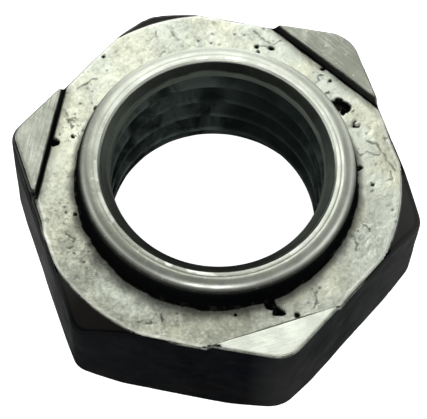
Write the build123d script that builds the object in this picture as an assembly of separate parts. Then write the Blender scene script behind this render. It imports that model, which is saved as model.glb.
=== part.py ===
"""Hexagon weld nut, M16 x 2, with a centring collar and three weld projections.

One forged, turned and tapped piece of steel.
Millimetres, +Z up along the thread axis, away from the bearing face.
The origin is the centre of the flat bearing face underneath.
Hexagon corners lie on the X axis: the weld projections are the corners at 0, 120 and 240 degrees.
"""
from build123d import *
from build123d.topology.shape_core import SkipClean

import math
import os

# Hexagon body
ACROSS_FLATS = 24.0
BODY_HEIGHT = 9.0
CORNER_ROUND = 0.35
TOP_FACE_RADIUS = 12.1
TOP_CHAMFER_ANGLE = 45.0
BEARING_FACE_RADIUS = 12.3
BOTTOM_CHAMFER_ANGLE = 42.0

# Weld projections: raised lands on every second corner
PROJECTION_COUNT = 3
PROJECTION_HEIGHT = 0.7
PROJECTION_FOOT = 11.03
PROJECTION_EDGE = 11.3

# Centring collar round the bore
COLLAR_RADIUS = 9.1
COLLAR_HEIGHT = 2.0
COLLAR_ROUND = 0.9
SCORE_RADIUS = 8.05
SCORE_WIDTH = 0.2
SCORE_DEPTH = 0.08

# Thread, M16 x 2 coarse, right-hand
MAJOR_DIAMETER = 16.0
PITCH = 2.0
THREAD_DEPTH = 0.625 * PITCH * math.cos(math.radians(30.0))
FLANK_ANGLE = 30.0
ROOT_WIDTH = PITCH / 8.0
GROOVE_START_Z = -3.025
GROOVE_TURNS = 8

# Ends of the bore
LEAD_IN_RADIUS = 7.64
LEAD_IN_DEPTH = 1.5
LEAD_IN_BULGE = 0.12
RUN_OUT_START = 2.7
RUN_OUT_END = 0.9
RUN_OUT_RADIUS = 7.0
COUNTERSINK_RADIUS = 8.65
COUNTERSINK_ANGLE = 45.0

# Derived sizes
TOP_Z = BODY_HEIGHT + COLLAR_HEIGHT
LAND_Z = BODY_HEIGHT + PROJECTION_HEIGHT
CORNER_RADIUS = ACROSS_FLATS / 2.0 / math.cos(math.radians(30.0))
MAJOR_RADIUS = MAJOR_DIAMETER / 2.0
MINOR_RADIUS = MAJOR_RADIUS - THREAD_DEPTH
OVERSHOOT = 1.0


def drop(radius, start, angle):
    """Depth a chamfer reaches at a radius, when it starts at another radius."""
    return (radius - start) * math.tan(math.radians(angle))


def turned(points):
    """Solid of revolution about Z from a closed (radius, height) outline."""
    outline = Polyline([(r, 0.0, z) for r, z in points], close=True)
    return revolve(make_face(outline), axis=Axis.Z, revolution_arc=360.0)


def hexagon_prism(height):
    """Hexagonal bar with slightly rounded vertical edges, corners on the X axis."""
    outline = RegularPolygon(ACROSS_FLATS / 2.0, 6, major_radius=False)
    outline = fillet(outline.vertices(), CORNER_ROUND)
    return extrude(outline, amount=height)


def chamfered_body():
    """Hexagon with conical chamfers turned on its top and bottom corners."""
    reach = CORNER_RADIUS + OVERSHOOT
    top_drop = drop(reach, TOP_FACE_RADIUS, TOP_CHAMFER_ANGLE)
    bottom_rise = drop(reach, BEARING_FACE_RADIUS, BOTTOM_CHAMFER_ANGLE)
    envelope = turned(
        [
            (0.0, 0.0),
            (BEARING_FACE_RADIUS, 0.0),
            (reach, bottom_rise),
            (reach, BODY_HEIGHT - top_drop),
            (TOP_FACE_RADIUS, BODY_HEIGHT),
            (0.0, BODY_HEIGHT),
        ]
    )
    return hexagon_prism(BODY_HEIGHT) & envelope


def weld_projection(angle):
    """Raised land that fills one corner, with a leaning wall straight across it."""
    base_z = BODY_HEIGHT / 2.0
    reach = CORNER_RADIUS + OVERSHOOT
    side = Polyline(
        (PROJECTION_FOOT, 0.0, base_z),
        (PROJECTION_FOOT, 0.0, BODY_HEIGHT),
        (PROJECTION_EDGE, 0.0, LAND_Z),
        (reach, 0.0, LAND_Z),
        (reach, 0.0, base_z),
        close=True,
    )
    wedge = extrude(make_face(side), amount=CORNER_RADIUS, both=True)
    return Rot(0.0, 0.0, angle) * (wedge & hexagon_prism(LAND_Z))


def collar():
    """Turned ring round the bore, with a rounded outer rim and a fine scored line on top."""
    half = SCORE_WIDTH / 2.0
    rim_r = COLLAR_RADIUS - COLLAR_ROUND
    shoulder_z = TOP_Z - COLLAR_ROUND
    bend = COLLAR_ROUND * math.sin(math.radians(45.0))
    inside = Polyline(
        (COLLAR_RADIUS, 0.0, shoulder_z),
        (COLLAR_RADIUS, 0.0, BODY_HEIGHT / 2.0),
        (0.0, 0.0, BODY_HEIGHT / 2.0),
        (0.0, 0.0, TOP_Z),
        (SCORE_RADIUS - half, 0.0, TOP_Z),
        (SCORE_RADIUS, 0.0, TOP_Z - SCORE_DEPTH),
        (SCORE_RADIUS + half, 0.0, TOP_Z),
        (rim_r, 0.0, TOP_Z),
    )
    rim = ThreePointArc(
        (rim_r, 0.0, TOP_Z),
        (rim_r + bend, 0.0, shoulder_z + bend),
        (COLLAR_RADIUS, 0.0, shoulder_z),
    )
    return revolve(make_face(inside.edges() + rim.edges()), axis=Axis.Z, revolution_arc=360.0)


def bore():
    """Through hole at the thread's minor diameter."""
    return Pos(0.0, 0.0, -OVERSHOOT) * extrude(Circle(MINOR_RADIUS), amount=TOP_Z + 2.0 * OVERSHOOT)


def countersink():
    """Cone that widens the bore at the bearing face."""
    sink_z = drop(COUNTERSINK_RADIUS, MINOR_RADIUS, COUNTERSINK_ANGLE)
    return turned(
        [
            (0.0, -OVERSHOOT),
            (COUNTERSINK_RADIUS + OVERSHOOT, -OVERSHOOT),
            (MINOR_RADIUS, sink_z),
            (0.0, sink_z),
        ]
    )


def lead_in():
    """Mouth of the collar: widens in a slight curve from the minor diameter to the rim."""
    low_z = TOP_Z - LEAD_IN_DEPTH
    middle_r = (MINOR_RADIUS + LEAD_IN_RADIUS) / 2.0 - LEAD_IN_BULGE
    middle_z = TOP_Z - LEAD_IN_DEPTH / 2.0
    curve = ThreePointArc(
        (MINOR_RADIUS, 0.0, low_z),
        (middle_r, 0.0, middle_z),
        (LEAD_IN_RADIUS, 0.0, TOP_Z),
    )
    rest = Polyline(
        (LEAD_IN_RADIUS, 0.0, TOP_Z),
        (LEAD_IN_RADIUS, 0.0, TOP_Z + OVERSHOOT),
        (0.0, 0.0, TOP_Z + OVERSHOOT),
        (0.0, 0.0, low_z),
        (MINOR_RADIUS, 0.0, low_z),
    )
    return revolve(make_face(curve.edges() + rest.edges()), axis=Axis.Z, revolution_arc=360.0)


def thread_groove():
    """Right-hand helical groove; it fades out in the lead-in and never reaches the rim."""
    inner_r = MINOR_RADIUS - PITCH / 8.0
    slope = math.tan(math.radians(FLANK_ANGLE))
    inner_half = ROOT_WIDTH / 2.0 + (MAJOR_RADIUS - inner_r) * slope
    section = Polyline(
        (MAJOR_RADIUS, 0.0, GROOVE_START_Z - ROOT_WIDTH / 2.0),
        (MAJOR_RADIUS, 0.0, GROOVE_START_Z + ROOT_WIDTH / 2.0),
        (inner_r, 0.0, GROOVE_START_Z + inner_half),
        (inner_r, 0.0, GROOVE_START_Z - inner_half),
        close=True,
    )
    path = Pos(0.0, 0.0, GROOVE_START_Z) * Helix(PITCH, GROOVE_TURNS * PITCH, MINOR_RADIUS)
    groove = sweep(make_face(section), path=path, is_frenet=True)
    outer_r = MAJOR_RADIUS + OVERSHOOT
    run_out = turned(
        [
            (0.0, -OVERSHOOT),
            (outer_r, -OVERSHOOT),
            (outer_r, TOP_Z - RUN_OUT_START - OVERSHOOT * (outer_r - MAJOR_RADIUS)),
            (MAJOR_RADIUS, TOP_Z - RUN_OUT_START),
            (RUN_OUT_RADIUS, TOP_Z - RUN_OUT_END),
            (0.0, TOP_Z - RUN_OUT_END),
        ]
    )
    return groove & run_out


def in_thirds(solid):
    """The same solid with every face divided between the projections.

    It is cut into three sectors and joined again without merging their faces, so that no face of
    the thread crest is longer than a third of a turn.
    """
    span = 360.0 / PROJECTION_COUNT
    reach = CORNER_RADIUS + OVERSHOOT
    half_section = Polyline(
        (0.0, 0.0, -OVERSHOOT),
        (reach, 0.0, -OVERSHOOT),
        (reach, 0.0, TOP_Z + OVERSHOOT),
        (0.0, 0.0, TOP_Z + OVERSHOOT),
        close=True,
    )
    sector = revolve(make_face(half_section), axis=Axis.Z, revolution_arc=span)
    starts = [span * (index + 0.5) for index in range(PROJECTION_COUNT)]
    first, *others = [solid & (Rot(0.0, 0.0, start) * sector) for start in starts]
    with SkipClean():
        return first.fuse(*others)


def nut_body():
    """The whole nut: body, projections and collar in one piece, bored and tapped."""
    solid = chamfered_body() + collar()
    for index in range(PROJECTION_COUNT):
        solid = solid + weld_projection(index * 360.0 / PROJECTION_COUNT)
    return in_thirds(solid - bore() - countersink() - lead_in() - thread_groove())


os.makedirs("parts", exist_ok=True)
export_step(nut_body(), "parts/nut_body.step")
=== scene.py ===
import itertools
import math

import bpy
import numpy as np
from mathutils import Matrix, Vector

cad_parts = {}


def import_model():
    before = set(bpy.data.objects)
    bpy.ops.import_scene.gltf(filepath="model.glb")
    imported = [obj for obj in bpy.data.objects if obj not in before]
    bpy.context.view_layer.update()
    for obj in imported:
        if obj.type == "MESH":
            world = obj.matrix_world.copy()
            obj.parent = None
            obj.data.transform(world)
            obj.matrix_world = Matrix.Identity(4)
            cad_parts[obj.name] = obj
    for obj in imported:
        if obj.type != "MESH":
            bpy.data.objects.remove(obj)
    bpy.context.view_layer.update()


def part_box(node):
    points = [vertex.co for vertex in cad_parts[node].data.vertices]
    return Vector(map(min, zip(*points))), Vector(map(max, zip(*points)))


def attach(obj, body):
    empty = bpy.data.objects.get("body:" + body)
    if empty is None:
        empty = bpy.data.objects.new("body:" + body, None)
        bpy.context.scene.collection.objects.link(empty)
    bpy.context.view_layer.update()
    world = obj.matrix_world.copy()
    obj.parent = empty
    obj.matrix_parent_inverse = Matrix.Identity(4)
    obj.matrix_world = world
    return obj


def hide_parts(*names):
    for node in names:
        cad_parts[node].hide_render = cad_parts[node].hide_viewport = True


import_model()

# The mesh code works in millimetres, and its points become metres when the mesh is made.
# Angles are in degrees round the thread axis, from +X towards +Y. Values given against angles,
# as {angle: value}, reach the angles between them through by_angle().
MM = 0.001
DEGREE = math.pi / 180

# The nut is one closed grid: columns round the axis, rows round the section. FAR_OFF is a
# distance past the reach of any wear or dirt.
COLUMNS = 1080
MIN_ROW_GAP = 0.15
FAR_OFF = 9.0

# Hexagon body.
HALF_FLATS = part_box("nut_body")[1].y / MM
HEIGHT = 9.0
CORNER_ROUNDS = {0: 1.8, 60: 1.2, 120: 2.4, 180: 1.8, 240: 1.3, 300: 1.2}
EDGE_BREAKS = {
    0: 0.2, 22: 0.24, 28: 0.36, 34: 0.28, 60: 0.4, 88: 0.28, 92: 0.15, 120: 0.2, 148: 0.15,
    205: 0.15, 214: 0.2, 235: 0.3, 243: 0.5, 267: 0.46, 272: 0.18, 300: 0.34, 328: 0.18,
    333: 0.13, 350: 0.16,
}
TOP_FACE_RADII = {60: 12.1, 180: 12.4, 300: 12.1}
TOP_CHAMFER_SLOPE = 1.0
BEARING_FACE_RADIUS = 12.3
BOTTOM_CHAMFER_SLOPE = 0.9
CHAMFER_SOFTNESS = 0.06
SIDES_INNER_RADIUS = 11.0

# Raised weld lands on three corners.
LAND_FOOT = 11.08
LAND_EDGE = 11.25
LAND_HEIGHT = 0.62
LAND_TILT = 0.10
LAND_SOFTNESS = 0.16

# Collar.
COLLAR_RADIUS = 9.1
COLLAR_TOP = 11.0
COLLAR_ROUND = 0.9
COLLAR_CROWN = 1.04
COLLAR_FOOT_FILLET = 0.12
INNER_TILT = 0.05
SCORE_RADIUS = 8.04
SCORE_WIDTH = 0.07
SCORE_DEPTH = 0.02
LIP_WIDTH = 0.12
LIP_DROP = 0.05

# Bore and M16 x 2 thread.
CREST_RADIUS = 6.9175
ROOT_RADIUS = 8.0
PITCH = 2.0
CREST_PHASE = 1.975
ROOT_HALF_WIDTH = 0.125
FLANK_SLOPE = math.tan(60 * DEGREE)
LEAD_IN_RADIUS = 7.64
LEAD_IN_FOOT = 9.5
LEAD_IN_FLARE = 3.6
BORE_TOP = COLLAR_TOP - 0.09
SINK_TOP = 1.8
RUN_OUT_LOW = 8.3
RUN_OUT_HIGH = 10.1
RUN_OUT_RADIUS = 7.0
COUNTERSINK_RADIUS = 8.65
THREAD_EDGE_SOFTNESS = 0.05


def smooth(low, high, value):
    """0 below low, 1 above high, and a smooth ramp between."""
    t = np.clip((value - low) / (high - low), 0, 1)
    return t * t * (3 - 2 * t)


def soft_clip(value, softness):
    """value kept between 0 and 1 with rounded corners."""
    rise = np.sqrt(value**2 + softness**2)
    fall = np.sqrt((value - 1) ** 2 + softness**2)
    return (rise - fall + 1) / 2


def soft_larger(a, b, softness):
    """The larger of two values, with a rounded corner where they cross."""
    return (a + b + np.sqrt((a - b) ** 2 + softness**2)) / 2


def hashed(key, seed):
    """A random number from 0 to 1 for each whole-number position."""
    mixed = key[..., 0] * 374761393 + key[..., 1] * 668265263
    mixed = mixed + key[..., 2] * 1440662683 + seed * 362437
    mixed = (mixed ^ (mixed >> 13)) * 1274126177
    mixed = mixed ^ (mixed >> 16)
    return (mixed & 65535) / 65535


def lattice_noise(points, cell, seed):
    """Smooth random values from -1 to 1, with features about one cell wide."""
    scaled = points / cell
    base = np.floor(scaled).astype(np.int64)
    part = scaled - base
    part = part * part * (3 - 2 * part)
    total = np.zeros(points.shape[:-1])
    for corner in itertools.product((0, 1), repeat=3):
        value = 2 * hashed(base + np.array(corner), seed) - 1
        weight = np.where(np.array(corner) == 1, part, 1 - part).prod(-1)
        total += weight * value
    return total


def layered_noise(points, cell, seed, layers=4, gain=0.5):
    """Lattice noise with finer, weaker layers added, from -1 to 1."""
    total, strength, norm = 0.0, 1.0, 0.0
    for layer in range(layers):
        total = total + strength * lattice_noise(points, cell / 2**layer, seed + layer)
        norm += strength
        strength *= gain
    return total / norm


def veins(points, cell, seed):
    """Thin wandering lines, in patches."""
    line = smooth(0.035, 0.0, np.abs(layered_noise(points, cell, seed, 3)))
    return line * smooth(0.15, 0.5, layered_noise(points, 2.4, seed + 9, 2))


def scattered_pits(plan, cell, share, sizes, seed):
    """Small round pits strewn over the plane, at most one to a cell."""
    base = np.floor(plan / cell).astype(np.int64)
    depth = np.zeros(plan.shape[:-1])
    for step in itertools.product((-1, 0, 1), repeat=2):
        key = base + np.array(step)
        spot = np.concatenate([key, np.zeros_like(key[..., :1])], -1)
        chance, east, north, size = (hashed(spot, seed + k) for k in range(4))
        centre = (key + np.stack([east, north], -1)) * cell
        radius = sizes[0] + (sizes[1] - sizes[0]) * size
        away = np.linalg.norm(plan - centre, axis=-1)
        depth = np.maximum(depth, (chance < share) * smooth(radius, 0.4 * radius, away))
    return depth


# The grid's columns: angle, nearest corner, turn away from that corner, and what the corner has.
THETA = np.arange(COLUMNS) * 2 * math.pi / COLUMNS
CORNER_INDEX = np.round(THETA / (math.pi / 3)).astype(int) % 6
CORNER_TURN = (THETA + math.pi / 6) % (math.pi / 3) - math.pi / 6
HAS_LAND = CORNER_INDEX % 2 == 0


def by_corner(values):
    """Values given for some of the corners, at every column. Other corners have 0."""
    return np.array([values.get(60 * k, 0.0) for k in range(6)])[CORNER_INDEX]


def by_angle(values):
    """Values given at a few angles, run on evenly to every column."""
    return np.interp(THETA / DEGREE, list(values), list(values.values()), period=360)


TOP_FACE_RADIUS = by_corner(TOP_FACE_RADII)
EDGE_BREAK = by_angle(EDGE_BREAKS)


def side_radius():
    """Distance from the axis to the hexagon's side at each column, corners rounded."""
    rounds = by_corner(CORNER_ROUNDS)
    turn = np.abs(CORNER_TURN)
    flat = HALF_FLATS / np.cos(math.pi / 6 - turn)
    centre = (HALF_FLATS - rounds) / math.cos(math.pi / 6)
    touch = np.arctan2(rounds / 2, centre + rounds * math.cos(math.pi / 6))
    under = np.maximum(rounds**2 - (centre * np.sin(turn)) ** 2, 0)
    arc = centre * np.cos(turn) + np.sqrt(under)
    return np.where(turn < touch, arc, flat)


def top_height(r):
    """Height of the body's top at a radius: face, chamfer, or raised land."""
    across = r * np.cos(CORNER_TURN)
    rise = soft_clip((across - LAND_FOOT) / (LAND_EDGE - LAND_FOOT), LAND_SOFTNESS)
    land = LAND_HEIGHT + LAND_TILT * (across - LAND_EDGE)
    drop = TOP_CHAMFER_SLOPE * soft_larger(r - TOP_FACE_RADIUS, 0, CHAMFER_SOFTNESS)
    return HEIGHT + np.where(HAS_LAND, land * rise, -drop)


def bottom_height(r):
    """Height of the body's underside at a radius: bearing face and chamfer."""
    return BOTTOM_CHAMFER_SLOPE * soft_larger(r - BEARING_FACE_RADIUS, 0, CHAMFER_SOFTNESS)


def shares(rows):
    """How far along its band each row is, from 0 up to but not including 1."""
    return np.linspace(0, 1, rows, endpoint=False)[:, None]


def radial_band(rows, r_from, r_to, height):
    """Rows of points from one radius towards another, at the height of that radius."""
    t = shares(rows)
    r = (1 - t) * r_from + t * r_to + np.zeros(COLUMNS)
    return r, height(r)


def straight_band(rows, start, end):
    """Rows from one (radius, height) towards another."""
    t = shares(rows)
    r = (1 - t) * start[0] + t * end[0]
    z = (1 - t) * start[1] + t * end[1]
    return r + np.zeros(COLUMNS), z + np.zeros(COLUMNS)


def arc_band(rows, centre, radii, turn_from, turn_to):
    """Rows along an arc about a centre, radii across and up, turns in degrees from outward."""
    turn = (turn_from + (turn_to - turn_from) * shares(rows)) * DEGREE
    r = centre[0] + radii[0] * np.cos(turn)
    z = centre[1] + radii[1] * np.sin(turn)
    return r + np.zeros(COLUMNS), z + np.zeros(COLUMNS)


def body_bands():
    """Bands from the countersink's edge, out under the body, up its side and in to the collar.

    The first number of a band is its count of rows.
    """
    side = side_radius()
    rim = side - EDGE_BREAK
    top_crease = np.where(HAS_LAND, LAND_FOOT / np.cos(CORNER_TURN), TOP_FACE_RADIUS)
    top_crease_end = np.where(
        HAS_LAND, LAND_EDGE / np.cos(CORNER_TURN), TOP_FACE_RADIUS + MIN_ROW_GAP
    )
    inner = np.minimum(top_crease, rim - 2 * MIN_ROW_GAP)
    outer = np.minimum(top_crease_end, rim - MIN_ROW_GAP)
    low_inner = np.minimum(BEARING_FACE_RADIUS - MIN_ROW_GAP, rim - 2 * MIN_ROW_GAP)
    low_outer = np.minimum(BEARING_FACE_RADIUS + MIN_ROW_GAP, rim - MIN_ROW_GAP)
    low = bottom_height(rim)
    high = top_height(rim)
    foot = COLLAR_RADIUS + COLLAR_FOOT_FILLET
    return [
        radial_band(30, COUNTERSINK_RADIUS, low_inner, bottom_height),
        radial_band(5, low_inner, low_outer, bottom_height),
        radial_band(14, low_outer, rim, bottom_height),
        arc_band(6, (rim, low + EDGE_BREAK), (EDGE_BREAK, EDGE_BREAK), -90, 0),
        straight_band(64, (side, low + EDGE_BREAK), (side, high - EDGE_BREAK)),
        arc_band(8, (rim, high - EDGE_BREAK), (EDGE_BREAK, EDGE_BREAK), 0, 90),
        radial_band(30, rim, outer, top_height),
        radial_band(9, outer, inner, top_height),
        radial_band(48, inner, foot, top_height),
    ]


def collar_bands():
    """Bands from the collar's foot up its wall, over its rounded rim and in to the bore."""
    fillet = COLLAR_FOOT_FILLET
    rim_foot = COLLAR_TOP - COLLAR_ROUND
    rim_inner = COLLAR_RADIUS - COLLAR_CROWN
    foot = HEIGHT + fillet
    return [
        arc_band(4, (COLLAR_RADIUS + fillet, foot), (fillet, fillet), 270, 180),
        straight_band(14, (COLLAR_RADIUS, foot), (COLLAR_RADIUS, rim_foot)),
        arc_band(22, (rim_inner, rim_foot), (COLLAR_CROWN, COLLAR_ROUND), 0, 90),
        radial_band(26, rim_inner, LEAD_IN_RADIUS, collar_height),
    ]


def collar_height(r):
    """The collar's top: a shallow scored line, and a lip that leans in to the bore."""
    groove = np.exp(-(((r - SCORE_RADIUS) / SCORE_WIDTH) ** 2))
    lean = INNER_TILT * np.maximum(SCORE_RADIUS - r, 0)
    lip = smooth(LEAD_IN_RADIUS + LIP_WIDTH, LEAD_IN_RADIUS, r)
    return COLLAR_TOP - SCORE_DEPTH * groove - lean - LIP_DROP * lip


def plain_bore_radius(z):
    """Radius of the bore without its thread: 45 degree countersink, cylinder and lead-in."""
    t = np.clip((z - LEAD_IN_FOOT) / (COLLAR_TOP - LEAD_IN_FOOT), 0, 1)
    lead_in = CREST_RADIUS + (LEAD_IN_RADIUS - CREST_RADIUS) * t**LEAD_IN_FLARE
    sink = COUNTERSINK_RADIUS - z
    return np.maximum(lead_in, sink)


def groove_radius(z):
    """Radius that the thread groove reaches at each height and column."""
    crest = CREST_PHASE + PITCH * THETA / (2 * math.pi)
    from_root = np.abs((z - crest) % PITCH - PITCH / 2)
    reach = ROOT_RADIUS - FLANK_SLOPE * np.maximum(from_root - ROOT_HALF_WIDTH, 0)
    fade = (z - RUN_OUT_LOW) / (RUN_OUT_HIGH - RUN_OUT_LOW)
    limit = ROOT_RADIUS + (RUN_OUT_RADIUS - ROOT_RADIUS) * np.clip(fade, 0, 1)
    limit = np.where(z > RUN_OUT_HIGH, 0, limit)
    return np.minimum(reach, limit)


def bore_band():
    """One band down the bore, its radius following the thread."""
    stretches = ((BORE_TOP, LEAD_IN_FOOT, 28), (LEAD_IN_FOOT, SINK_TOP, 150), (SINK_TOP, 0.0, 30))
    heights = [np.linspace(top, low, rows, endpoint=False) for top, low, rows in stretches]
    z = np.concatenate(heights)[:, None] + np.zeros(COLUMNS)
    r = soft_larger(plain_bore_radius(z), groove_radius(z), THREAD_EDGE_SOFTNESS)
    return r, z


def profile():
    """Radius and height of every row and column, once round the nut's section."""
    bands = body_bands() + collar_bands() + [bore_band()]
    return np.vstack([b[0] for b in bands]), np.vstack([b[1] for b in bands])


def normals(points):
    """Unit normals of the grid, pointing out of the metal."""
    down = np.roll(points, -1, 0) - np.roll(points, 1, 0)
    along = np.roll(points, -1, 1) - np.roll(points, 1, 1)
    cross = np.cross(along, down)
    return cross / np.maximum(np.linalg.norm(cross, axis=-1, keepdims=True), 1e-9)


def placed(r, z):
    """Points in space for the grid's radii and heights."""
    return np.stack([r * np.cos(THETA), r * np.sin(THETA), z], -1)


# Pits in the top face: (radius mm, angle degrees, size mm, depth mm).
PITS = (
    (10.10, 103, 0.44, 0.50),
    (9.95, 105.5, 0.42, 0.50),
    (9.55, 106.5, 0.28, 0.30),
    (9.75, 101.5, 0.20, 0.30),
    (9.72, 104, 0.30, 0.40),
    (10.2, 3, 0.42, 0.45),
    (9.6, 1.5, 0.45, 0.35),
    (10.95, 238, 0.36, 0.30),
    (9.4, 76, 0.25, 0.25),
    (9.4, 219, 0.20, 0.20),
    (10.9, 120, 0.16, 0.15),
    (10.6, 115, 0.15, 0.15),
    (10.5, 140.5, 0.22, 0.15),
    (10.3, 145.5, 0.17, 0.15),
    (9.9, 144.5, 0.14, 0.15),
    (9.5, 144, 0.14, 0.12),
    (10.2, 69, 0.14, 0.10),
    (10.9, 8.5, 0.22, 0.12),
    (9.8, 348, 0.15, 0.12),
    (9.5, 268, 0.16, 0.12),
    (9.9, 234, 0.13, 0.12),
    (11.8, 201, 0.14, 0.12),
    (12.1, 337.3, 0.24, 0.30),
    (12.1, 339.3, 0.32, 0.40),
    (12.2, 341.2, 0.24, 0.30),
)

# Pits with a raised middle, given in the same way.
RINGED_PITS = ((10.1, 94.6, 0.22, 0.14), (10.5, 292, 0.34, 0.04), (11.0, 318, 0.30, 0.05))

# Patches of the top face strewn with specks: (radius mm, angle degrees, size mm).
SPECKLED = (
    (10.4, 229, 0.9),
    (9.9, 234, 0.8),
    (10.3, 265, 0.9),
    (10.6, 275, 0.6),
    (9.7, 112, 0.6),
    (10.6, 120, 0.7),
    (10.2, 50, 0.9),
    (9.9, 40, 0.7),
    (10.6, 322, 0.6),
    (9.6, 350, 0.7),
    (10.5, 100, 0.5),
)

# Cracks in the top face: points of (radius mm, angle degrees).
CRACKS = (
    ((10.5, 145), (10.0, 144.5), (9.4, 144)),
    ((10.3, 145), (10.5, 143), (10.5, 140)),
    ((11.5, 148), (11.0, 143), (10.9, 140), (11.2, 138), (11.6, 136)),
    ((10.4, 119), (10.1, 118), (9.7, 118)),
    ((10.4, 86), (10.9, 85), (11.1, 82), (11.4, 78), (11.8, 74)),
    ((11.0, 82), (10.9, 81), (10.3, 81), (10.0, 81.5)),
    ((11.5, 74), (11.4, 71), (11.1, 70)),
    ((9.5, 85), (9.5, 82.5), (9.8, 81.5)),
    ((11.3, 225.5), (10.6, 228), (10.3, 226.5)),
    ((10.6, 228), (10.2, 231)),
    ((9.6, 46), (10.1, 44), (10.3, 41)),
    ((10.6, 274.5), (10.3, 278), (10.5, 280), (10.8, 280)),
    ((11.8, 181), (11.3, 181.5), (11.3, 184), (11.4, 186)),
    ((10.1, 181), (9.8, 184)),
    ((11.4, 176), (10.7, 174)),
    ((11.2, 216), (11.2, 213), (10.8, 209)),
    ((10.3, 18), (10.9, 17), (11.1, 15)),
)
CRACK_WIDTH = 0.075
CRACK_DEPTH = 0.05
FULLY_DARK_DEPTH = 0.09


def flat_point(radius, degrees):
    """The point of the top face at that radius and angle."""
    return radius * np.array([math.cos(degrees * DEGREE), math.sin(degrees * DEGREE)])


def speckled(points):
    """1 inside the strewn patches, falling away at their ragged edges."""
    share = np.zeros(points.shape[:-1])
    ragged = 0.5 * layered_noise(points, 0.6, 57, 3)
    for radius, degrees, size in SPECKLED:
        away = np.linalg.norm(points[..., :2] - flat_point(radius, degrees), axis=-1)
        share = np.maximum(share, smooth(1.1, 0.2, away / size + ragged))
    return share


def pit_depths(plan, wander, broken):
    """Depth of the marked pits and cracks at each point of the top face."""
    depth = np.zeros(plan.shape[:-1])
    for radius, degrees, size, deep in PITS:
        reach = plan + (0.08 + 0.2 * size) * wander - flat_point(radius, degrees)
        away = np.linalg.norm(reach, axis=-1)
        depth = np.maximum(depth, deep * smooth(size, 0.6 * size, away))
    for radius, degrees, size, deep in RINGED_PITS:
        reach = plan + 0.8 * size * wander - flat_point(radius, degrees)
        band = (np.linalg.norm(reach, axis=-1) - size) / (0.3 * size)
        depth = np.maximum(depth, deep * np.exp(-(band**2)) * smooth(-0.1, 0.2, wander[..., 0]))
    for crack in CRACKS:
        ends = [flat_point(*point) for point in crack]
        for start, end in zip(ends, ends[1:]):
            line = end - start
            reach = plan + 0.2 * wander - start
            share = np.clip(reach @ line / (line @ line), 0, 1)
            away = np.linalg.norm(reach - share[..., None] * line, axis=-1)
            cut = CRACK_DEPTH * broken * smooth(CRACK_WIDTH, 0, away)
            depth = np.maximum(depth, cut)
    return depth


def regions(r, z, up):
    """Weights of the nut's kinds of surface at every point."""
    over = r > COLLAR_RADIUS + 0.02
    level = smooth(0.8, 0.97, up) * over
    face = HAS_LAND | (r < TOP_FACE_RADIUS + 0.03)
    low = z < HEIGHT + LAND_HEIGHT / 2 + 0.04
    on_land = HAS_LAND * (r * np.cos(CORNER_TURN) > LAND_FOOT)
    rim = (z > COLLAR_TOP - 0.8) * (r > LEAD_IN_RADIUS - 0.02) * (r <= COLLAR_RADIUS + 0.02)
    bore = (r < COUNTERSINK_RADIUS + 0.01) * (z < COLLAR_TOP - 0.085)
    bore = bore * (1 - rim) * (z > 0.001)
    chamfer = smooth(0.45, 0.65, up) * smooth(0.85, 0.75, up) * (z < HEIGHT) * over
    return {
        "ring": level * face * (z > HEIGHT - 0.2) * low,
        "land": level * ~low * on_land,
        "collar": smooth(0.22, 0.75, up) * rim,
        "bore": bore * 1.0,
        "lead_in": bore * smooth(LEAD_IN_FOOT - 0.1, LEAD_IN_FOOT + 0.2, z),
        "chamfer": chamfer,
    }


def hollows(points, deep, cell, seed, layers=4):
    """Gentle waves from 0 to twice the given depth."""
    return deep * (1 + layered_noise(points, cell, seed, layers))


def relief(points, kinds):
    """Depth of wear, scale and marks below the true surface, and how dark the marks are."""
    wander = np.stack([layered_noise(points, 0.5, seed, 3) for seed in (5, 7)], -1)
    top = np.clip(kinds["ring"] + kinds["land"], 0, 1)
    rough = np.clip(1 - top - kinds["collar"] - kinds["bore"], 0, 1)
    plan = points[..., :2]
    crowded = smooth(-0.1, 0.35, layered_noise(points, 3.2, 101, 2))
    lines = veins(points, 1.3, 71) * kinds["ring"]
    dots = scattered_pits(plan, 0.8, 0.45, (0.05, 0.11), 81) * kinds["ring"] * crowded
    chips = scattered_pits(plan + 0.15 * wander, 1.9, 0.4, (0.08, 0.2), 91) * kinds["ring"]
    broken = 0.55 + 0.45 * smooth(-0.3, 0.4, layered_noise(points, 0.28, 63, 2))
    marks = pit_depths(plan, wander, broken) * top
    depth = hollows(points, 0.018, 1.4, 11) * kinds["ring"]
    depth += hollows(points, 0.004, 0.3, 17, 2) * kinds["ring"]
    depth += hollows(points, 0.012, 2.2, 23) * kinds["land"]
    depth += hollows(points, 0.03, 2.4, 31) * rough
    depth += 0.05 * smooth(0.35, 0.8, layered_noise(points, 0.9, 43, 3)) * rough
    depth += 0.012 * lines + 0.04 * dots + 0.03 * chips + marks
    faint = np.maximum.reduce([0.2 * lines, 0.6 * dots, 0.25 * chips])
    return depth, np.maximum(np.clip(marks / FULLY_DARK_DEPTH, 0, 1), faint)


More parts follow.
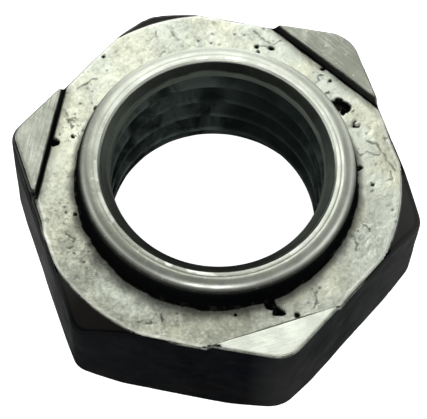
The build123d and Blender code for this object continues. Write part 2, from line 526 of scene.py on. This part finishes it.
def edge_nearness(r, z):
    """1 on the convex edges that rub bright, falling to 0 a little way off.

    The upper edges of the chamfered corners do not rub.
    """
    side = side_radius()
    across = r * np.cos(CORNER_TURN)
    rim = np.hypot(side - r, top_height(side - EDGE_BREAK) - z)
    foot = np.hypot(side - r, bottom_height(side - EDGE_BREAK) - z)
    crease = np.abs(r - TOP_FACE_RADIUS) + np.abs(HEIGHT - z)
    crease = np.where(HAS_LAND, FAR_OFF, crease)
    lip = np.hypot(r - LEAD_IN_RADIUS, z - COLLAR_TOP)
    step = np.hypot(across - LAND_EDGE, z - HEIGHT - LAND_HEIGHT)
    step = np.where(HAS_LAND, step, FAR_OFF)
    nearest = np.minimum.reduce([rim, foot + 0.08, crease, lip, step + 0.08])
    on_top_break = (r > side - EDGE_BREAK + 0.03) * (z > HEIGHT / 2)
    chamfered = ~HAS_LAND * smooth(HALF_FLATS, HALF_FLATS + 0.06, side) * on_top_break
    return smooth(0.26, 0.03, nearest + 0.3 * chamfered)


# How light the steel is painted, from 0 to 1: each land by its corner, the ring and the collar by
# angle. This is painted light and shade: one land lit, the others shaded, the ring and collar
# darker on the near and left sides.
LAND_LIGHT_AND_SHADE = {0: 1.0, 120: 0.06, 240: 0.32}
RING_SHADE_TONES = {
    0: 0.80, 30: 0.86, 67: 0.92, 100: 0.98, 130: 0.98, 157: 0.82, 190: 0.74, 215: 0.9,
    247: 0.98, 265: 0.64, 290: 0.22, 320: 0.46,
}
COLLAR_SHADE_TONES = {
    0: 0.45, 60: 0.9, 100: 0.95, 150: 1.0, 200: 0.95, 225: 0.5, 250: 0.25, 285: 0.12, 330: 0.22,
}

# How far bare metal shows through the scale of the sides, with a grey painted sheen per flat for
# what the flats reflect, none at 330 and 350 degrees, and where their tops stay black.
BARE_AND_SHEEN_SIDES = {
    2: 0.05, 30: 0.05, 50: 0.10, 60: 0.12, 80: 0.16, 150: 0.07, 210: 0.10, 262: 0.20,
    285: 0.10, 297: 0.015, 330: 0.0, 350: 0.0, 358: 0.05,
}
DARK_TOPS = {0: 0.0, 210: 0.0, 235: 1.0, 280: 1.0, 300: 0.0}
DARK_TOP_HEIGHTS = (6.0, 7.4)

# How light the oily stains of the thread are painted round the bore: painted light and shade, by
# angle.
BORE_LIGHT = {
    0: 0.7, 60: 1.2, 90: 0.7, 110: 0.2, 145: 0.2, 165: 1.1, 200: 1.4, 250: 1.4, 300: 1.0,
}

# Painted shade and a dark lip band: the width of the collar's painted shadow round its foot and of
# the dark band on the lip of the bore, and how black the painted shade is at the lands' feet, on
# the collar's shoulder and, as painted shadow, in the flared mouth of the bore.
COLLAR_SHADOW_WIDTH = {
    0: 0.30, 40: 0.24, 70: 0.26, 100: 0.14, 130: 0.05, 150: 0.01, 175: 0.01, 200: 0.08,
    225: 0.14, 247: 0.20, 270: 0.30, 300: 0.38, 337: 0.42,
}
LIP_DARK_BAND = {0: 0.05, 50: 0.04, 80: 0.0, 240: 0.0, 270: 0.04, 300: 0.06, 330: 0.06}
LAND_FOOT_SHADE = {0: 0.12, 30: 0.12, 89: 0.12, 91: 1, 150: 1, 210: 0.8, 270: 0.8, 330: 0.12}
COLLAR_SLOPE_SHADE = {0: 1.0, 60: 0.9, 95: 0.35, 130: 0.05, 180: 0.05, 205: 0.4, 235: 1.0}
FLARE_SHADOW_STRENGTH = {0: 0.9, 60: 0.3, 100: 0.85, 150: 1.0, 200: 0.8, 235: 0.35, 270: 0.6, 300: 0.9}
FLARE_SHADOW_FOOT = 10.5

# Lines on the collar: a painted highlight along its shoulder, and burnished flecks with painted
# glints round its lip.
SHOULDER_RADIUS = 8.64
SHOULDER_HIGHLIGHT = {0: 0.9, 50: 0.6, 90: 0.1, 120: 0.0, 220: 0.0, 280: 0.3, 310: 0.8}
LIP_BURNISH_AND_GLINT = {
    0: 1.0, 40: 0.4, 80: 0.2, 120: 0.6, 160: 1.0, 200: 0.7, 230: 0.1, 280: 0.5, 310: 1.0,
}


def painted_light_and_shade(kinds):
    """How light each bright surface is painted, from 0 to 1: painted light and shade by corner and
    angle.
    """
    ring = by_angle(RING_SHADE_TONES) * kinds["ring"]
    land = by_corner(LAND_LIGHT_AND_SHADE) * kinds["land"]
    return ring + land + by_angle(COLLAR_SHADE_TONES) * kinds["collar"]


def burnish_and_highlight(points, r, kinds):
    """Polished lines and painted highlights: the ring's polished outer crease, a painted highlight
    on the collar's shoulder, burnished flecks with painted glints round its lip.
    """
    turn = layered_noise(points, 0.55, 131, 2)
    flecks = smooth(-0.05, 0.08, layered_noise(points, 0.8, 137, 2))
    rim = side_radius() - EDGE_BREAK
    crease = np.where(HAS_LAND, rim, np.minimum(rim, TOP_FACE_RADIUS)) - 0.04
    crease = smooth(0.14, 0.03, np.abs(r - crease)) * kinds["ring"] * (0.65 + 0.35 * turn)
    lip = smooth(0.17, 0.09, np.abs(r - LEAD_IN_RADIUS - 0.2)) * flecks
    # The shoulder line is a painted highlight; the lip flecks are burnish with painted glints.
    shoulder = shoulder_line(points, r)
    on_collar = (by_angle(SHOULDER_HIGHLIGHT) * shoulder + by_angle(LIP_BURNISH_AND_GLINT) * lip) * kinds["collar"]
    return np.clip(crease + on_collar, 0, 1)


def shoulder_line(points, r):
    """1 on the line where the collar's top turns down."""
    wavy = 0.04 * layered_noise(points, 1.5, 139, 2)
    return smooth(0.13, 0.02, np.abs(r - SHOULDER_RADIUS - wavy))


def bare_metal_and_sheen(points, r, z, up):
    """How much bare metal and painted sheen the hexagon's sides and chamfers show."""
    patches = 0.75 + 0.4 * layered_noise(points, 3.0, 61)
    dark_top = by_angle(DARK_TOPS) * smooth(*DARK_TOP_HEIGHTS, z) * (up < 0.5)
    outside = (r > SIDES_INNER_RADIUS) * ((up < 0.75) | (z < HEIGHT - 0.12))
    return by_angle(BARE_AND_SHEEN_SIDES) * patches * outside * (1 - 0.9 * dark_top)


def shade_and_lip_band(points, r, z, up, kinds):
    """Painted shade in the inner corners, the collar's foot and the lands' feet, a dark band on
    the lip, painted shade on the collar's shoulder and painted shadow in the bore's mouth.
    """
    across = r * np.cos(CORNER_TURN)
    ragged = 1 + 0.6 * layered_noise(points, 0.8, 97, 3)
    width = by_angle(COLLAR_SHADOW_WIDTH) * ragged
    away = np.hypot(r - COLLAR_RADIUS, z - HEIGHT)
    # Painted shadow of the collar on the ring round its foot, widest on the near side, away from
    # the key light.
    collar = np.maximum(smooth(1.25, 0.75, away / width), 0.7 * smooth(3.4, 0.8, away / width))
    # Painted shade in the corner at the lands' feet, darkest at the lands at 120 and 240 degrees.
    from_foot = np.hypot(across - LAND_FOOT - 0.03, z - HEIGHT)
    land = np.where(HAS_LAND, from_foot, FAR_OFF) / ragged
    step = np.maximum(smooth(0.17, 0.08, land), 0.35 * smooth(0.7, 0.1, land))
    step = step * by_angle(LAND_FOOT_SHADE)
    # A dark band on the lip's inner slope, from 270 round to 50 degrees.
    lip_width = by_angle(LIP_DARK_BAND) * (1 + 0.4 * layered_noise(points, 0.9, 107, 2))
    from_lip = np.where(z > LEAD_IN_FOOT, np.abs(r - LEAD_IN_RADIUS), FAR_OFF)
    lip = smooth(0.04, -0.02, from_lip - lip_width) * (by_angle(LIP_DARK_BAND) > 0)
    # Painted shade on the collar's sloping rim, almost none towards the key light, broken where
    # the painted highlight runs along its shoulder.
    slope_shade = 0.96 * by_angle(COLLAR_SLOPE_SHADE) * smooth(0.97, 0.6, up) * (kinds["collar"] > 0)
    slope_shade = slope_shade * (1 - by_angle(SHOULDER_HIGHLIGHT) * shoulder_line(points, r))
    return np.maximum.reduce([collar, step, lip, slope_shade, flare_shadow(points, r, z)])


def flare_shadow(points, r, z):
    """A ragged painted shadow on the flared mouth of the bore, under its lip."""
    foot = FLARE_SHADOW_FOOT + 0.16 * layered_noise(points, 1.6, 117, 3)
    inside = (r < LEAD_IN_RADIUS + 0.001) * (z > LEAD_IN_FOOT)
    return 0.9 * by_angle(FLARE_SHADOW_STRENGTH) * smooth(foot - 0.08, foot + 0.08, z) * inside


def grain_coordinates(points, r, kinds):
    """Coordinates stretched along the tool marks: across the lands, round the turned faces."""
    across = r * np.cos(CORNER_TURN)
    along = r * np.sin(CORNER_TURN)
    brushed = np.stack([across * 9, along * 0.5, CORNER_INDEX + 0 * r], -1)
    length = (COLLAR_TOP - points[..., 2]) + r
    turned = np.stack([points[..., 0] / r * 3, points[..., 1] / r * 3, length * 12], -1)
    plain = points * 1.0
    land = (kinds["land"] > 0.5)[..., None]
    round_face = (kinds["collar"] + kinds["bore"] > 0.3)[..., None]
    return np.where(land, brushed, np.where(round_face, turned, plain))


def grid_faces(rows):
    """Quads of a grid that closes in both directions."""
    here = np.arange(rows * COLUMNS).reshape(rows, COLUMNS)
    right = np.roll(here, -1, 1)
    below = np.roll(here, -1, 0)
    below_right = np.roll(below, -1, 1)
    return np.stack([here, below, below_right, right], -1).reshape(-1, 4)


def mesh_from_grid(name, points):
    """A smooth mesh object from the grid of points, in metres."""
    quads = grid_faces(len(points))
    mesh = bpy.data.meshes.new(name)
    mesh.vertices.add(points.shape[0] * points.shape[1])
    mesh.vertices.foreach_set("co", (points * MM).ravel().astype(np.float32))
    mesh.loops.add(quads.size)
    mesh.loops.foreach_set("vertex_index", quads.ravel().astype(np.int32))
    mesh.polygons.add(len(quads))
    mesh.polygons.foreach_set("loop_start", np.arange(0, quads.size, 4, dtype=np.int32))
    mesh.polygons.foreach_set("loop_total", np.full(len(quads), 4, dtype=np.int32))
    mesh.polygons.foreach_set("use_smooth", np.ones(len(quads), dtype=bool))
    mesh.update(calc_edges=True)
    mesh.validate()
    piece = bpy.data.objects.new(name, mesh)
    bpy.context.scene.collection.objects.link(piece)
    return piece


def store(piece, name, values):
    """Keeps one number, or one vector, at each vertex for the material to read."""
    vector = values.ndim == 3
    kind = "FLOAT_VECTOR" if vector else "FLOAT"
    attribute = piece.data.attributes.new(name, kind, "POINT")
    key = "vector" if vector else "value"
    attribute.data.foreach_set(key, values.ravel().astype(np.float32))


def nut():
    """The whole nut as one closed mesh, with the masks that its material reads."""
    r, z = profile()
    points = placed(r, z)
    out = normals(points)
    up = out[..., 2]
    kinds = regions(r, z, up)
    depth, dark = relief(points, kinds)
    piece = mesh_from_grid("nut_body_steel", points - depth[..., None] * out)
    top = kinds["ring"] + kinds["land"]
    masks = {
        "bright": np.clip(top + kinds["collar"], 0, 1),
        "painted_tone": painted_light_and_shade(kinds),
        "burnish_and_highlight": burnish_and_highlight(points, r, kinds),
        "chamfer": kinds["chamfer"],
        "speckled": speckled(points) * np.clip(top, 0, 1),
        # Dark marks and pits, with painted shade and the dark lip band.
        "grime_and_shade": np.maximum(dark, shade_and_lip_band(points, r, z, up, kinds)),
        "worn_edge": edge_nearness(r, z),
        "bare_and_sheen": bare_metal_and_sheen(points, r, z, up),
        "bore": kinds["bore"],
        "lead_in": kinds["lead_in"],
        "bore_light": by_angle(BORE_LIGHT) + 0 * r,
        "ring": kinds["ring"],
        "brushed": kinds["land"],
        "turned": np.clip(kinds["collar"] + kinds["lead_in"], 0, 1),
        "grain": grain_coordinates(points, r, kinds),
    }
    for name, values in masks.items():
        store(piece, name, values)
    return piece


class Shader:
    """Adds nodes to one material. Values may be numbers, colours or other nodes' outputs."""

    def __init__(self, name):
        self.material = bpy.data.materials.new(name)
        self.material.use_nodes = True
        self.nodes = self.material.node_tree.nodes
        self.links = self.material.node_tree.links
        self.surface = self.nodes["Principled BSDF"]

    def put(self, socket, value):
        """Links an output to the socket, or sets the socket to a plain value."""
        if isinstance(value, bpy.types.NodeSocket):
            self.links.new(value, socket)
        else:
            socket.default_value = value

    def attribute(self, name, output="Fac"):
        """A mask stored on the mesh."""
        made = self.nodes.new("ShaderNodeAttribute")
        made.attribute_name = name
        return made.outputs[output]

    def place(self):
        """The object's own coordinates, in metres."""
        made = self.nodes.new("ShaderNodeTexCoord")
        return made.outputs["Object"]

    def noise(self, vector, scale, detail=3.0, rough=0.5, warp=0.0):
        made = self.nodes.new("ShaderNodeTexNoise")
        self.put(made.inputs["Vector"], vector)
        self.put(made.inputs["Scale"], scale)
        self.put(made.inputs["Detail"], detail)
        self.put(made.inputs["Roughness"], rough)
        self.put(made.inputs["Distortion"], warp)
        return made.outputs["Fac"]

    def ramp(self, value, low, high, to_low=0.0, to_high=1.0):
        """A smooth climb from to_low to to_high while the value goes from low to high."""
        made = self.nodes.new("ShaderNodeMapRange")
        made.interpolation_type = "SMOOTHSTEP"
        self.put(made.inputs["Value"], value)
        self.put(made.inputs["From Min"], low)
        self.put(made.inputs["From Max"], high)
        self.put(made.inputs["To Min"], to_low)
        self.put(made.inputs["To Max"], to_high)
        return made.outputs["Result"]

    def maths(self, operation, a, b=0.0, clamp=False):
        made = self.nodes.new("ShaderNodeMath")
        made.operation = operation
        made.use_clamp = clamp
        self.put(made.inputs[0], a)
        self.put(made.inputs[1], b)
        return made.outputs[0]

    def times(self, a, b):
        return self.maths("MULTIPLY", a, b)

    def plus(self, a, b):
        return self.maths("ADD", a, b)

    def blend(self, share, a, b):
        """A colour between a, where share is 0, and b, where share is 1."""
        made = self.nodes.new("ShaderNodeMix")
        made.data_type = "RGBA"
        self.put(made.inputs["Factor"], share)
        self.put(made.inputs["A"], a)
        self.put(made.inputs["B"], b)
        return [o for o in made.outputs if o.type == "RGBA"][0]

    def blend_number(self, share, a, b):
        made = self.nodes.new("ShaderNodeMix")
        made.data_type = "FLOAT"
        self.put(made.inputs["Factor"], share)
        self.put(made.inputs["A"], a)
        self.put(made.inputs["B"], b)
        return [o for o in made.outputs if o.type == "VALUE"][0]

    def bump(self, height, distance, normal=None):
        made = self.nodes.new("ShaderNodeBump")
        self.put(made.inputs["Height"], height)
        self.put(made.inputs["Distance"], distance)
        if normal is not None:
            self.put(made.inputs["Normal"], normal)
        return made.outputs["Normal"]


def colour(red, green, blue):
    """An opaque colour, in linear values."""
    return (red, green, blue, 1.0)


# Scale on the sides and chamfers, grey for bare metal and painted sheen, oiled bore, lead-in,
# bright steel, and black for marks, pits and painted shade.
SCALE_BLACK = colour(0.0018, 0.0027, 0.0036)
SCALE_BROWN = colour(0.0034, 0.0033, 0.0034)
CHAMFER_BROWN = colour(0.0095, 0.0085, 0.0075)
SCALE_GREY = colour(0.012, 0.014, 0.015)
BARE_SHEEN_GREY = colour(0.300, 0.310, 0.290)
BORE_BLACK = colour(0.013, 0.019, 0.018)
BORE_GREY = colour(0.075, 0.095, 0.085)
LEAD_IN_DARK = colour(0.060, 0.066, 0.056)
LEAD_IN_GREY = colour(0.160, 0.185, 0.155)
STEEL_DULL = colour(0.30, 0.32, 0.26)
STEEL_LIGHT = colour(0.76, 0.81, 0.69)
STEEL_YELLOWED = colour(0.79, 0.81, 0.63)
STEEL_NEUTRAL = colour(0.75, 0.79, 0.685)
STEEL_BRIGHT = colour(0.92, 0.93, 0.87)
GRIME_AND_SHADE_BLACK = colour(0.004, 0.004, 0.004)

# Shine of the clean steel and of the scale, and bump depths in metres.
CLEAN_METALLIC = 0.92
SCALE_GLOSS = 0.002
POCK_DEPTH = 0.09 * MM
GRIT_DEPTH = 0.04 * MM
TOOL_MARK_DEPTH = 0.014 * MM


def scale_colour(s, place):
    """Black forging scale with brown and grey patches."""
    patches = s.ramp(s.noise(place, 260, 4, 0.6, 0.6), 0.42, 0.68)
    dust = s.ramp(s.noise(place, 1100, 5, 0.65), 0.5, 0.8)
    base = s.blend(patches, SCALE_BLACK, SCALE_BROWN)
    base = s.blend(s.attribute("chamfer"), base, CHAMFER_BROWN)
    return s.blend(s.times(dust, 0.3), base, SCALE_GREY)


def bore_colour(s, place, grain):
    """Dark oiled thread, with a greyer turned lead-in."""
    lines = s.ramp(s.noise(grain, 1.0, 3, 0.6), 0.3, 0.7)
    stains = s.ramp(s.noise(place, 420, 4, 0.6, 0.5), 0.35, 0.65)
    # Painted light and shade by angle scales the oily stains of the thread.
    thread = s.blend(s.times(stains, s.attribute("bore_light")), BORE_BLACK, BORE_GREY)
    lead_in = s.blend(s.plus(s.times(lines, 0.5), 0.2), LEAD_IN_DARK, LEAD_IN_GREY)
    lead_in = s.blend(s.times(stains, 0.4), lead_in, LEAD_IN_DARK)
    return s.blend(s.attribute("lead_in"), thread, lead_in)


def centred(s, value, strength):
    """A noise moved to vary about zero, by that much."""
    return s.times(s.maths("SUBTRACT", value, 0.5), strength)


def steel_colour(s, place, grain):
    """Bright worn steel: mottled on the ring, brushed on the lands, turned on the collar, with
    painted light and shade in its lightness and a painted highlight on the collar.
    """
    mottle = centred(s, s.noise(place, 1000, 6, 0.72, 0.5), 1.7)
    grit = centred(s, s.noise(place, 4200, 3, 0.6), 1.3)
    mottle = s.plus(mottle, grit)
    cloud = centred(s, s.noise(place, 260, 4, 0.6, 0.4), 1.1)
    ring = s.times(s.plus(mottle, cloud), s.plus(s.times(s.attribute("ring"), 0.75), 0.25))
    lines = centred(s, s.noise(grain, 1.0, 4, 0.65), 1.0)
    brushed = s.times(s.attribute("brushed"), 1.5)
    streaks = s.times(lines, s.plus(brushed, s.times(s.attribute("turned"), 0.45)))
    smudges = s.times(centred(s, s.noise(place, 420, 5, 0.65, 0.8), 1.4), s.attribute("brushed"))
    # The painted tone carries painted light and shade into the steel's lightness.
    level = s.plus(s.plus(s.attribute("painted_tone"), ring), s.plus(streaks, smudges))
    level = s.maths("ADD", level, s.times(s.attribute("worn_edge"), 0.35), clamp=True)
    # Polish and painted highlights lighten the steel towards bright.
    polish_and_highlight = s.times(s.attribute("burnish_and_highlight"), 0.85)
    yellowed = s.ramp(s.noise(place, 190, 3, 0.6), 0.4, 0.6)
    ring_light = s.blend(yellowed, STEEL_LIGHT, STEEL_YELLOWED)
    light = s.blend(s.attribute("ring"), STEEL_NEUTRAL, ring_light)
    base = s.blend(polish_and_highlight, s.blend(level, STEEL_DULL, light), STEEL_BRIGHT)
    flecks = s.ramp(s.noise(place, 2600, 3, 0.6), 0.60, 0.72)
    return s.blend(s.times(flecks, 0.4), base, STEEL_BRIGHT)


def surface_bump(s, place, grain):
    """Forged pocks, strongest on the ring, and tool marks on the lands and turned faces."""
    lines = s.noise(grain, 1.0, 3, 0.6)
    tooled = s.plus(s.attribute("brushed"), s.times(s.attribute("turned"), 0.5))
    forged = s.plus(s.times(s.attribute("ring"), 0.8), 0.2)
    patchy = s.times(s.ramp(s.noise(place, 300, 2), 0.4, 0.65, 0.25, 1.0), forged)
    normal = s.bump(s.times(s.noise(place, 620, 4, 0.6, 0.6), patchy), POCK_DEPTH)
    normal = s.bump(s.times(s.noise(place, 2200, 5, 0.7), forged), GRIT_DEPTH, normal)
    return s.bump(s.times(lines, tooled), TOOL_MARK_DEPTH, normal)


def nut_material():
    """Forged and turned steel: bright worn faces on black scale."""
    s = Shader("weld_nut_steel")
    place = s.place()
    grain = s.attribute("grain", "Vector")
    breakup = s.noise(place, 1500, 5, 0.6)
    rubbed = s.times(s.attribute("worn_edge"), s.ramp(breakup, 0.3, 0.6, 0.1, 0.75))
    rubbed = s.times(rubbed, s.maths("SUBTRACT", 1.0, s.attribute("bore")))
    bright = s.ramp(s.plus(s.attribute("bright"), centred(s, breakup, 0.5)), 0.35, 0.65)
    metal = s.maths("MAXIMUM", bright, rubbed)
    # Bare metal and a painted sheen lay grey on the scale of the sides.
    scale = s.blend(s.attribute("bare_and_sheen"), scale_colour(s, place), BARE_SHEEN_GREY)
    dark = s.blend(s.attribute("bore"), scale, bore_colour(s, place, grain))
    base = s.blend(metal, dark, steel_colour(s, place, grain))
    specks = s.ramp(s.noise(place, 3400, 3, 0.65), 0.54, 0.64)
    specks = s.times(specks, s.times(s.attribute("speckled"), 0.7))
    # Pits, cracks, specks and painted shade turn the colour black and take the metal away.
    grime_and_shade = s.times(s.attribute("grime_and_shade"), s.ramp(breakup, 0.2, 0.5, 0.9, 1.0))
    grime_and_shade = s.maths("MAXIMUM", grime_and_shade, specks)
    s.put(s.surface.inputs["Base Color"], s.blend(grime_and_shade, base, GRIME_AND_SHADE_BLACK))
    clean = s.times(metal, s.maths("SUBTRACT", 1.0, grime_and_shade))
    s.put(s.surface.inputs["Metallic"], s.times(clean, CLEAN_METALLIC))
    wear = s.noise(place, 700, 5, 0.6)
    matt = s.ramp(wear, 0.3, 0.7, 0.50, 0.75)
    shiny = s.ramp(wear, 0.3, 0.7, 0.33, 0.48)
    s.put(s.surface.inputs["Roughness"], s.blend_number(metal, matt, shiny))
    s.put(s.surface.inputs["Specular IOR Level"], SCALE_GLOSS)
    s.put(s.surface.inputs["Normal"], surface_bump(s, place, grain))
    return s.material


# Studio. Sizes, distances and places from here on are in metres, powers in watts.
FLOOR_REACH = 3.0
FLOOR_GAP = 0.00002
HORIZON_LIGHT = 0.65
ZENITH_LIGHT = 0.18
HORIZON_TOP = 0.15
ZENITH_BOTTOM = 0.6


def floor():
    """A plain pale floor, a little luminous so that it reads as a white sweep."""
    reach = FLOOR_REACH
    mesh = bpy.data.meshes.new("floor")
    corners = [(-reach, -reach, 0), (reach, -reach, 0), (reach, reach, 0), (-reach, reach, 0)]
    mesh.from_pydata(corners, [], [(0, 1, 2, 3)])
    plane = bpy.data.objects.new("floor", mesh)
    plane.location.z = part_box("nut_body")[0].z - FLOOR_GAP
    bpy.context.scene.collection.objects.link(plane)
    s = Shader("floor_white")
    s.put(s.surface.inputs["Base Color"], colour(0.8, 0.8, 0.8))
    s.put(s.surface.inputs["Roughness"], 0.9)
    s.put(s.surface.inputs["Specular IOR Level"], 0.0)
    s.put(s.surface.inputs["Emission Color"], colour(1.0, 1.0, 1.0))
    s.put(s.surface.inputs["Emission Strength"], 1.0)
    plane.data.materials.append(s.material)
    return plane


def softbox(name, azimuth, elevation, distance, size, power, centre):
    """A square area light that faces the nut, standing at that angle round the thread axis."""
    lamp = bpy.data.lights.new(name, "AREA")
    lamp.shape = "SQUARE"
    lamp.size = size
    lamp.energy = power
    obj = bpy.data.objects.new(name, lamp)
    a, e = azimuth * DEGREE, elevation * DEGREE
    away = Vector((math.cos(a) * math.cos(e), math.sin(a) * math.cos(e), math.sin(e)))
    obj.location = centre + away * distance
    obj.rotation_euler = away.to_track_quat("Z", "Y").to_euler()
    bpy.context.scene.collection.objects.link(obj)
    return obj


def world():
    """Pale studio walls that darken towards the ceiling."""
    made = bpy.data.worlds.new("studio")
    made.use_nodes = True
    nodes, links = made.node_tree.nodes, made.node_tree.links
    place = nodes.new("ShaderNodeTexCoord")
    split = nodes.new("ShaderNodeSeparateXYZ")
    ramp = nodes.new("ShaderNodeMapRange")
    ramp.interpolation_type = "SMOOTHSTEP"
    ramp.inputs["From Min"].default_value = HORIZON_TOP
    ramp.inputs["From Max"].default_value = ZENITH_BOTTOM
    ramp.inputs["To Min"].default_value = HORIZON_LIGHT
    ramp.inputs["To Max"].default_value = ZENITH_LIGHT
    links.new(place.outputs["Generated"], split.inputs[0])
    links.new(split.outputs["Z"], ramp.inputs["Value"])
    links.new(ramp.outputs["Result"], nodes["Background"].inputs["Strength"])
    nodes["Background"].inputs["Color"].default_value = colour(1.0, 1.0, 1.0)
    bpy.context.scene.world = made


# Lights: name, azimuth, elevation, distance, size, power.
SOFTBOXES = (
    ("key", 172, 50, 0.13, 0.11, 0.062),
    ("front", 337.5, 50, 0.30, 0.05, 0.14),
    ("left", 250, 22, 0.30, 0.20, 0.15),
    ("right", 55, 22, 0.30, 0.20, 0.15),
)


def studio():
    """Four soft lights round the nut, and the pale walls."""
    centre = Vector((0, 0, HEIGHT * MM))
    for light in SOFTBOXES:
        softbox(*light, centre)
    world()
    bpy.context.scene.view_settings.view_transform = "Standard"


# Camera. It looks along +Y at azimuth 0. Its lens and sensor are in millimetres.
CAMERA_AZIMUTH = 67.55
CAMERA_ELEVATION = 63.90
CAMERA_ROLL = 3.69
CAMERA_DISTANCE = 0.1331
CAMERA_LENS = 161.5
CAMERA_SENSOR = 36.0
CAMERA_TARGET = Vector((-0.00155, 0.00057, 0.00081))


def camera():
    """The camera at the viewing angle, turned a little about its own axis."""
    a, e, roll = (v * DEGREE for v in (CAMERA_AZIMUTH, CAMERA_ELEVATION, CAMERA_ROLL))
    back = Vector((math.sin(a) * math.cos(e), -math.cos(a) * math.cos(e), math.sin(e)))
    right = Vector((math.cos(a), math.sin(a), 0))
    up = back.cross(right)
    turned_right = right * math.cos(roll) + up * math.sin(roll)
    turned_up = up * math.cos(roll) - right * math.sin(roll)
    data = bpy.data.cameras.new("camera")
    data.lens = CAMERA_LENS
    data.sensor_width = CAMERA_SENSOR
    data.clip_start = 0.005
    obj = bpy.data.objects.new("camera", data)
    axes = Matrix((turned_right, turned_up, back)).transposed()
    obj.matrix_world = Matrix.Translation(CAMERA_TARGET + back * CAMERA_DISTANCE) @ axes.to_4x4()
    bpy.context.scene.collection.objects.link(obj)
    bpy.context.scene.camera = obj


piece = nut()
piece.data.materials.append(nut_material())
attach(piece, "root")
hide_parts("nut_body")

floor()
studio()
camera()
